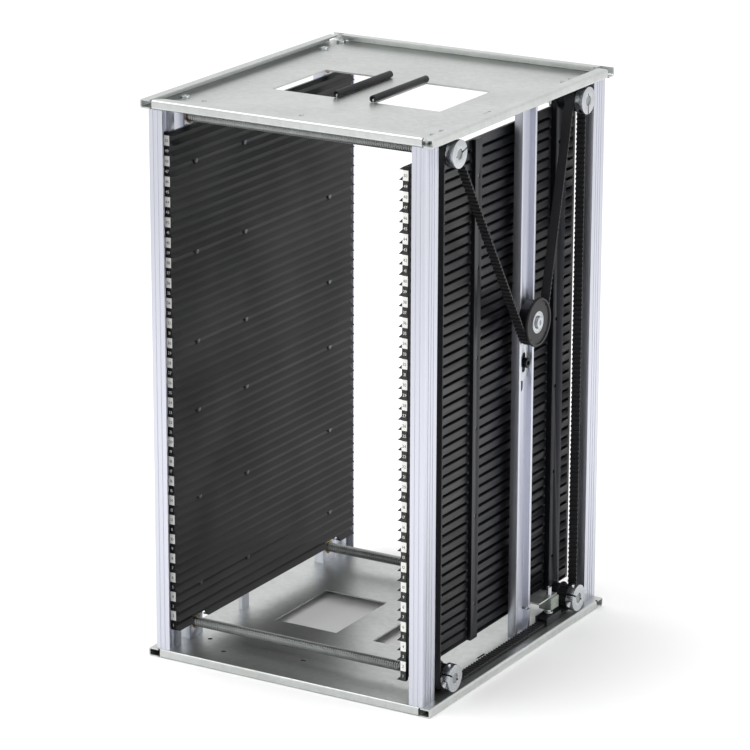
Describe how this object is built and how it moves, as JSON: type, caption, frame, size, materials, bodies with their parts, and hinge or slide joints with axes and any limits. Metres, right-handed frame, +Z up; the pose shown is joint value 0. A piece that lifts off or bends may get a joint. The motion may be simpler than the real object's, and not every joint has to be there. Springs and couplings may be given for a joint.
{
  "type": "pcb magazine rack",
  "caption": "Open sheet-metal and aluminium rack with two slotted plastic walls for boards; belt-driven lead screws slide one wall sideways.",
  "frame": {"origin": "centre of the base on the floor", "axes": "+X towards the belt-drive side, along the lead screws; +Y from the front opening to the back; +Z up"},
  "size_m": [0.32, 0.355, 0.563],
  "materials": {
    "galvanised_sheet": "zinc-coated, dull",
    "anodised_aluminium": "clear anodised, satin",
    "black_moulding": "static-dissipative, matte",
    "strip": "printed strip",
    "black_rail": "black anodised",
    "nut_metal": "turned",
    "bush_bronze": "plain bearing bronze",
    "black_plastic": "matte",
    "belt_rubber": "matte",
    "steel": "bright",
    "dark_steel": "blackened",
    "lock_casting": "passivated, grey"
  },
  "bodies": {
    "frame": {"bottom_plate": "galvanised_sheet", "top_plate": "galvanised_sheet", "post_front_left": "anodised_aluminium", "post_front_right": "anodised_aluminium", "post_back_left": "anodised_aluminium", "post_back_right": "anodised_aluminium", "middle_post": "anodised_aluminium", "fixed_column_front": "anodised_aluminium", "fixed_column_back": "anodised_aluminium", "fixed_rail_middle": "anodised_aluminium", "fixed_panel_lower": "black_moulding", "fixed_panel_upper": "black_moulding", "fixed_number_strip": "strip", "fixed_panel_screws": "dark_steel", "bearing_blocks": "black_rail", "screw_bushes_left": "bush_bronze", "screw_bushes_right": "bush_bronze", "grip_tubes": "black_plastic", "timing_belt": "belt_rubber", "idler_inner_ring": "steel", "idler_axle": "dark_steel", "idler_slide_plate": "steel", "idler_clamp_bar": "steel", "idler_clamp_screw": "dark_steel", "lock_bracket": "steel", "lock_block": "lock_casting", "lock_guide": "black_plastic", "plate_screws_top": "steel", "plate_screws_bottom": "steel"},
    "sliding_wall": {"sliding_panel_lower": "black_moulding", "sliding_panel_upper": "black_moulding", "sliding_number_strip": "strip", "sliding_panel_screws": "dark_steel", "sliding_rail_front": "black_rail", "sliding_rail_back": "black_rail", "sliding_rail_middle": "black_rail", "lead_nuts": "nut_metal"},
    "screw_bottom_front": {"lead_screw_bottom_front": "steel", "pulley_bottom_front": "black_plastic", "collar_bottom_front": "steel", "collar_screw_bottom_front": "dark_steel"},
    "screw_bottom_back": {"lead_screw_bottom_back": "steel", "pulley_bottom_back": "black_plastic", "collar_bottom_back": "steel", "collar_screw_bottom_back": "dark_steel"},
    "screw_top_front": {"lead_screw_top_front": "steel", "pulley_top_front": "black_plastic", "collar_top_front": "steel", "collar_screw_top_front": "dark_steel"},
    "screw_top_back": {"lead_screw_top_back": "steel", "pulley_top_back": "black_plastic", "collar_top_back": "steel", "collar_screw_top_back": "dark_steel"},
    "idler": {"idler_wheel": "black_rail", "idler_outer_ring": "steel", "idler_balls": "steel", "idler_shields": "steel"},
    "jaw": {"lock_jaw": "black_plastic"},
    "clamp_screw": {"lock_screw": "steel"}
  },
  "joints": [
    {"name": "screw_bottom_front_turn", "type": "hinge", "parent": "frame", "child": "screw_bottom_front", "pos_m": [0.144, -0.127, 0.024], "axis": [1, 0, 0], "range_deg": [0, 28800], "deforming": ["timing_belt"]},
    {"name": "screw_bottom_back_turn", "type": "hinge", "parent": "frame", "child": "screw_bottom_back", "pos_m": [0.144, 0.127, 0.024], "axis": [1, 0, 0], "range_deg": [0, 28800]},
    {"name": "screw_top_front_turn", "type": "hinge", "parent": "frame", "child": "screw_top_front", "pos_m": [0.144, -0.127, 0.539], "axis": [1, 0, 0], "range_deg": [0, 28800]},
    {"name": "screw_top_back_turn", "type": "hinge", "parent": "frame", "child": "screw_top_back", "pos_m": [0.144, 0.127, 0.539], "axis": [1, 0, 0], "range_deg": [0, 28800]},
    {"name": "wall_slide", "type": "slide", "parent": "frame", "child": "sliding_wall", "axis": [-1, 0, 0], "range_m": [0, 0.2]},
    {"name": "idler_spin", "type": "hinge", "parent": "frame", "child": "idler", "pos_m": [0.144, 0.044, 0.3345], "axis": [1, 0, 0], "range_deg": [-16822, 0]},
    {"name": "lock_lift", "type": "slide", "parent": "frame", "child": "jaw", "axis": [0, 0, 1], "range_m": [0, 0.0024]},
    {"name": "lock_turn", "type": "hinge", "parent": "jaw", "child": "clamp_screw", "pos_m": [0.1451, 0.088, 0.03], "axis": [0, 0, 1], "range_deg": [0, 1080]}
  ],
  "couplings": [
    {"joint": "screw_bottom_front_turn", "follows": "wall_slide", "rad_per_m": 2513.3},
    {"joint": "screw_bottom_back_turn", "follows": "wall_slide", "rad_per_m": 2513.3},
    {"joint": "screw_top_front_turn", "follows": "wall_slide", "rad_per_m": 2513.3},
    {"joint": "screw_top_back_turn", "follows": "wall_slide", "rad_per_m": 2513.3},
    {"joint": "idler_spin", "follows": "wall_slide", "rad_per_m": -1467.9},
    {"joint": "lock_turn", "follows": "lock_lift", "rad_per_m": 7854}
  ]
}
